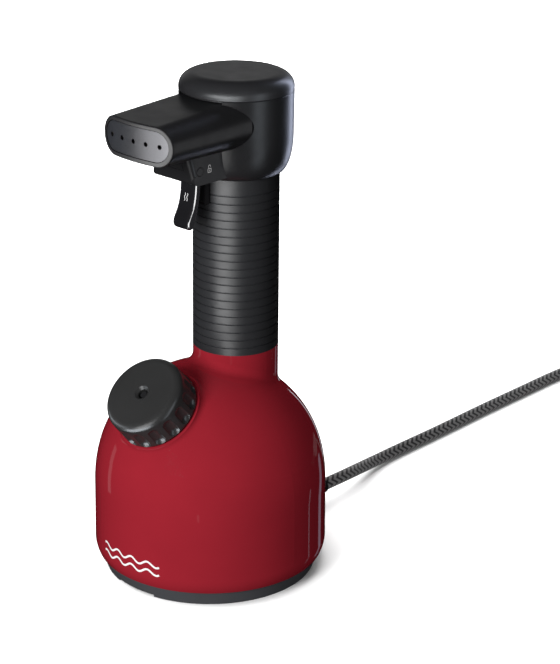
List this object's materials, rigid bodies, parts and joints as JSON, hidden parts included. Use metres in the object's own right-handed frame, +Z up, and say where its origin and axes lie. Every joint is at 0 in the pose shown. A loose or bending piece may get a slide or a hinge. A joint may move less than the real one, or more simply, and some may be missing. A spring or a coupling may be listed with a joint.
{
  "type": "garment steamer",
  "caption": "Handheld garment steamer with a round water tank and boiler body, ribbed upright grip, sideways steam nozzle, trigger and screw filler cap, with its mains lead coiled beside it.",
  "frame": {"origin": "centre of the annular face that the base stands on, on the axis of the round body", "axes": "+Z up along the body's axis; the nozzle and the filler cap face -Y; the neck stands towards +Y and the cord leaves at +Y"},
  "size_m": [0.1903, 0.5169, 0.2793],
  "materials": {
    "red_shell": "high-gloss red moulded plastic",
    "dark_base": "satin dark grey moulded plastic",
    "black_satin": "fine-textured satin black moulded plastic",
    "black_gloss": "polished black plastic",
    "knob_black": "semi-matt black plastic",
    "grip_rubber": "ribbed soft-touch rubber",
    "nozzle_metal": "brushed, dark anodised",
    "seal_silicone": "silicone seals",
    "boiler_metal": "deep-drawn sheet",
    "heater_metal": "sheathed heating tube",
    "brass": "turned brass",
    "steel": "zinc-plated steel",
    "inner_plastic": "heat-resistant natural plastic",
    "cord_textile": "braided textile sleeve, black and grey",
    "cord_rubber": "soft black rubber moulding",
    "pin_metal": "nickel-plated brass"
  },
  "bodies": {
    "steamer": {"body_shell": "red_shell", "base_cover": "dark_base", "base_screws": "steel", "boiler_pan": "boiler_metal", "boiler_gasket": "seal_silicone", "boiler_dome": "boiler_metal", "boiler_screws": "steel", "heating_element": "heater_metal", "thermostat": "inner_plastic", "thermal_fuse": "steel", "terminal_block": "inner_plastic", "steam_riser": "brass", "filler_neck": "black_satin", "handle_tube": "inner_plastic", "grip_sleeve": "grip_rubber", "head_barrel": "black_satin", "head_cap": "black_satin", "nozzle_shell": "black_satin", "nozzle_plate": "nozzle_metal", "nozzle_gasket": "seal_silicone", "steam_manifold": "inner_plastic", "valve_body": "brass", "valve_spring": "steel", "outlet_pipe": "brass", "trigger_housing": "black_satin", "trigger_stop": "black_satin", "trigger_pin": "steel", "strain_relief": "cord_rubber", "cord": "cord_textile", "cord_tail": "cord_textile", "cord_coil": "cord_textile", "coil_tie": "cord_rubber", "plug_body": "cord_rubber", "plug_pins": "pin_metal"},
    "cap_carrier": {"cap_seal": "seal_silicone", "vent_seat": "brass", "vent_spring": "steel"},
    "cap_knob": {"filler_cap": "knob_black"},
    "vent_valve": {"vent_pin": "black_satin"},
    "trigger_lever": {"trigger": "black_gloss"},
    "steam_valve": {"valve_stem": "steel"},
    "lock_bolt": {"lock_button": "black_satin"}
  },
  "joints": [
    {"name": "trigger_pull", "type": "hinge", "parent": "steamer", "child": "trigger_lever", "pos_m": [0, -0.0148, 0.2365], "axis": [1, 0, 0], "range_deg": [0, 13], "stiffness_Nm_per_rad": 0.15, "springref_deg": -22.92},
    {"name": "valve_slide", "type": "slide", "parent": "steamer", "child": "steam_valve", "axis": [0, 1, 0], "range_m": [0, 0.00154], "deforming": ["valve_spring"]},
    {"name": "lock_slide", "type": "slide", "parent": "steamer", "child": "lock_bolt", "axis": [-1, 0, 0], "range_m": [0, 0.0022]},
    {"name": "cap_turn", "type": "hinge", "parent": "cap_carrier", "child": "cap_knob", "pos_m": [0, -0.0518, 0.1157], "axis": [0, -0.6621, 0.7494], "range_deg": [0, 1440]},
    {"name": "cap_lift", "type": "slide", "parent": "steamer", "child": "cap_carrier", "axis": [0, -0.6621, 0.7494], "range_m": [0, 0.012]},
    {"name": "vent_lift", "type": "slide", "parent": "cap_carrier", "child": "vent_valve", "axis": [0, -0.6621, 0.7494], "range_m": [0, 0.001], "stiffness_N_per_m": 300, "springref_m": -0.003, "deforming": ["vent_spring"]}
  ],
  "couplings": [
    {"joint": "trigger_pull", "follows": "valve_slide", "rad_per_m": 147},
    {"joint": "cap_turn", "follows": "cap_lift", "rad_per_m": 2094.3}
  ]
}
